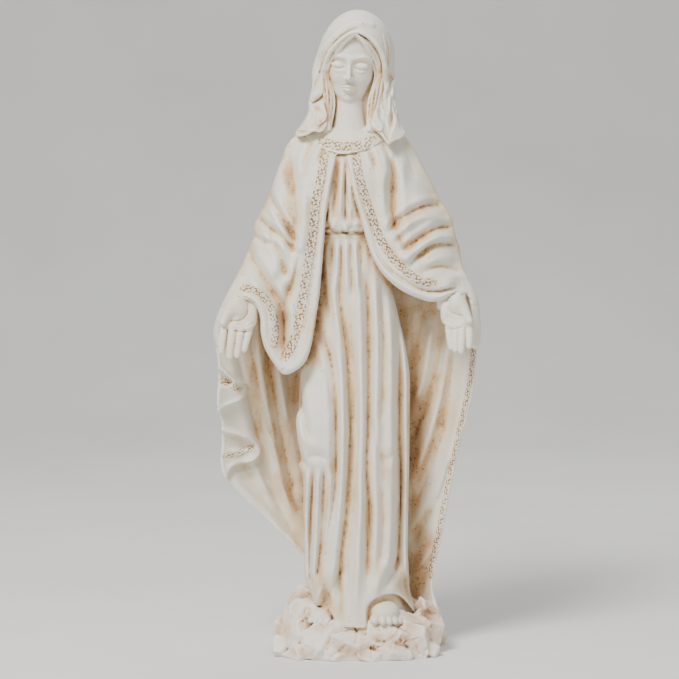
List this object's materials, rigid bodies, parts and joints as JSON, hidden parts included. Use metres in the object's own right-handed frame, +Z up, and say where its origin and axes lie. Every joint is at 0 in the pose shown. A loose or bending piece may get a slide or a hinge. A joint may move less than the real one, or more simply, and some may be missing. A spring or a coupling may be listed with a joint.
{
  "type": "madonna statue",
  "caption": "Standing robed and veiled figure with lowered open hands on a rocky base, a hollow cast garden statue with an aged off-white finish.",
  "frame": {"origin": "on the flat underside of the base, straight below the neck's axis and on the tie rod's axis", "axes": "+Z up, -Y the way the figure faces, +X towards the figure's left hand"},
  "size_m": [0.3251, 0.1564, 0.7815],
  "materials": {
    "cast_stone": "resin-bound stone casting, matte off-white with a tan antique wash in the recesses",
    "seam_laminate": "hand-laid glass-fibre laminate, dull translucent",
    "zinc_steel": "bright zinc plating",
    "ballast_mortar": "rough grey mortar",
    "plate_plastic": "moulded polypropylene, fine grain",
    "bung_rubber": "black rubber"
  },
  "bodies": {
    "root": {"body_front_shell": "cast_stone", "body_back_shell": "cast_stone", "head_and_veil": "cast_stone", "right_hand": "cast_stone", "left_hand": "cast_stone", "rock_base": "cast_stone", "right_seam_strip": "seam_laminate", "left_seam_strip": "seam_laminate", "right_wrist_dowel": "zinc_steel", "left_wrist_dowel": "zinc_steel", "neck_insert": "zinc_steel", "tie_rod": "zinc_steel", "tie_rod_washer": "zinc_steel", "tie_rod_nut": "zinc_steel", "ballast_ring": "ballast_mortar", "bottom_plate": "plate_plastic", "bottom_plate_screw_1": "zinc_steel", "bottom_plate_screw_2": "zinc_steel", "bottom_plate_screw_3": "zinc_steel", "bottom_plate_screw_4": "zinc_steel", "filler_bung": "bung_rubber"}
  },
  "joints": []
}
